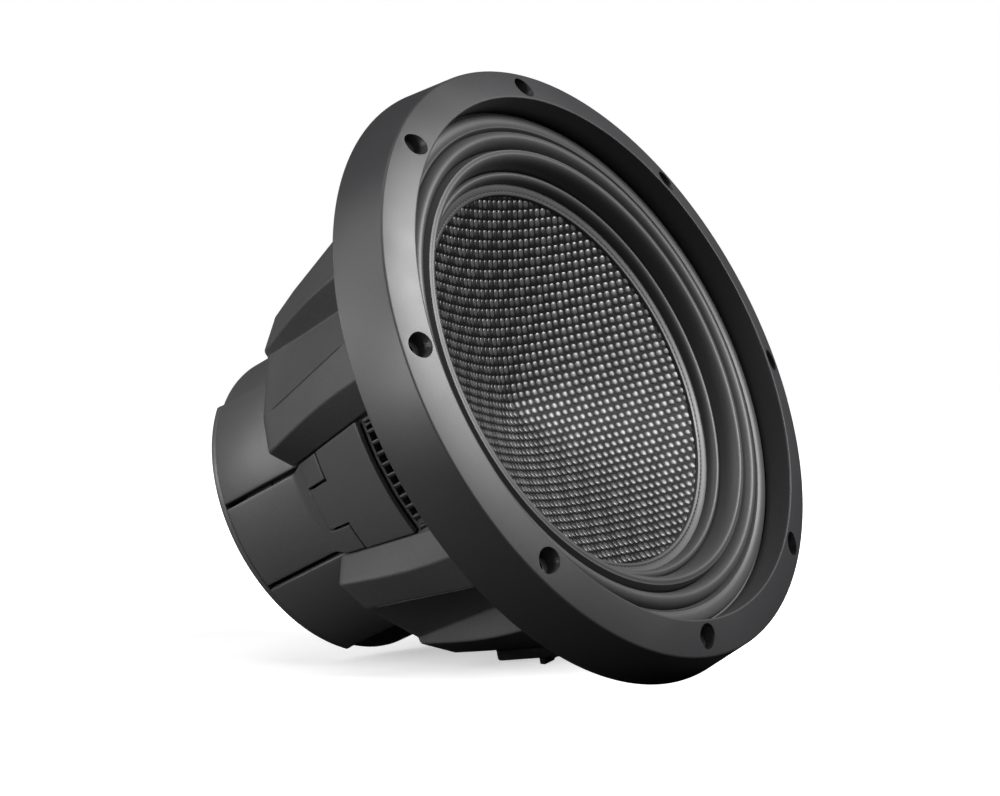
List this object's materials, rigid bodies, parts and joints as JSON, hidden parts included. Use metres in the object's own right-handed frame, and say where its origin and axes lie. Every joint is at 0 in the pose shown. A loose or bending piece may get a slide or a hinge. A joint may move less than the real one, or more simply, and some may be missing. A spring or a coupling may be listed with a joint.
{
  "type": "car subwoofer speaker",
  "caption": "Deep car subwoofer: woven dish cone, ribbed rubber surround, bevelled trim ring with sunk screw holes, faceted basket with vent bays, and a covered ring-magnet motor",
  "frame": {"origin": "on the speaker's axis, in the plane of the motor cover's rear face", "axes": "+Z runs along the axis out of the dish; +Y and -Y point out of the two vent bays; the terminal block is near -X"},
  "size_m": [0.275, 0.275, 0.1734],
  "materials": {
    "trim_plastic": "moulded plastic, fine satin texture, rounded edges",
    "basket_paint": "cast aluminium with a matt black fine-texture powder coat",
    "cover_plastic": "moulded plastic, fine spark-eroded texture",
    "surround_rubber": "smooth satin rubber with moulded rolls and stitching",
    "woven_dish": "woven glass fibre in black resin, semi-gloss, twill-like glints",
    "cone_pulp": "pressed black paper pulp, matt",
    "spider_cloth": "resin-set woven cloth, corrugated",
    "foam": "closed-cell foam, matt",
    "ferrite": "sintered ferrite, dark grey, matt",
    "motor_steel": "machined low-carbon steel, dark zinc finish",
    "coil_copper": "enamelled copper wire and copper braid",
    "former": "rolled aluminium",
    "contact_gold": "gold-plated brass",
    "button_plastic": "moulded plastic, semi-gloss"
  },
  "bodies": {
    "chassis": {"trim_ring": "trim_plastic", "mounting_gasket": "foam", "basket": "basket_paint", "bay_cover_a": "cover_plastic", "motor_bay_cover_a": "cover_plastic", "vent_comb_a": "cover_plastic", "bay_cover_b": "cover_plastic", "motor_bay_cover_b": "cover_plastic", "vent_comb_b": "cover_plastic", "motor_cover": "cover_plastic", "back_plate_and_pole": "motor_steel", "vent_screen": "motor_steel", "magnet_rear": "ferrite", "magnet_front": "ferrite", "shorting_ring": "former", "top_plate": "motor_steel", "basket_screw_1": "motor_steel", "basket_screw_2": "motor_steel", "basket_screw_3": "motor_steel", "basket_screw_4": "motor_steel", "basket_screw_5": "motor_steel", "basket_screw_6": "motor_steel", "surround": "surround_rubber", "spider": "spider_cloth", "contact_plus": "contact_gold", "contact_minus": "contact_gold", "terminal_block": "button_plastic", "tinsel_lead_plus": "coil_copper", "tinsel_lead_minus": "coil_copper"},
    "cone_assembly": {"woven_dish": "woven_dish", "support_cone": "cone_pulp", "voice_coil_former": "former", "voice_coil_winding": "coil_copper"},
    "plus_button": {"push_button_plus": "button_plastic"},
    "minus_button": {"push_button_minus": "button_plastic"}
  },
  "joints": [
    {"name": "cone_travel", "type": "slide", "parent": "chassis", "child": "cone_assembly", "axis": [0, 0, 1], "range_m": [-0.015, 0.015], "stiffness_N_per_m": 5000, "deforming": ["surround", "spider", "tinsel_lead_plus", "tinsel_lead_minus"]},
    {"name": "plus_press", "type": "slide", "parent": "chassis", "child": "plus_button", "axis": [0.9553, -0.1131, 0.2733], "range_m": [0, 0.003], "stiffness_N_per_m": 400},
    {"name": "minus_press", "type": "slide", "parent": "chassis", "child": "minus_button", "axis": [0.9553, -0.1131, 0.2733], "range_m": [0, 0.003], "stiffness_N_per_m": 400}
  ]
}
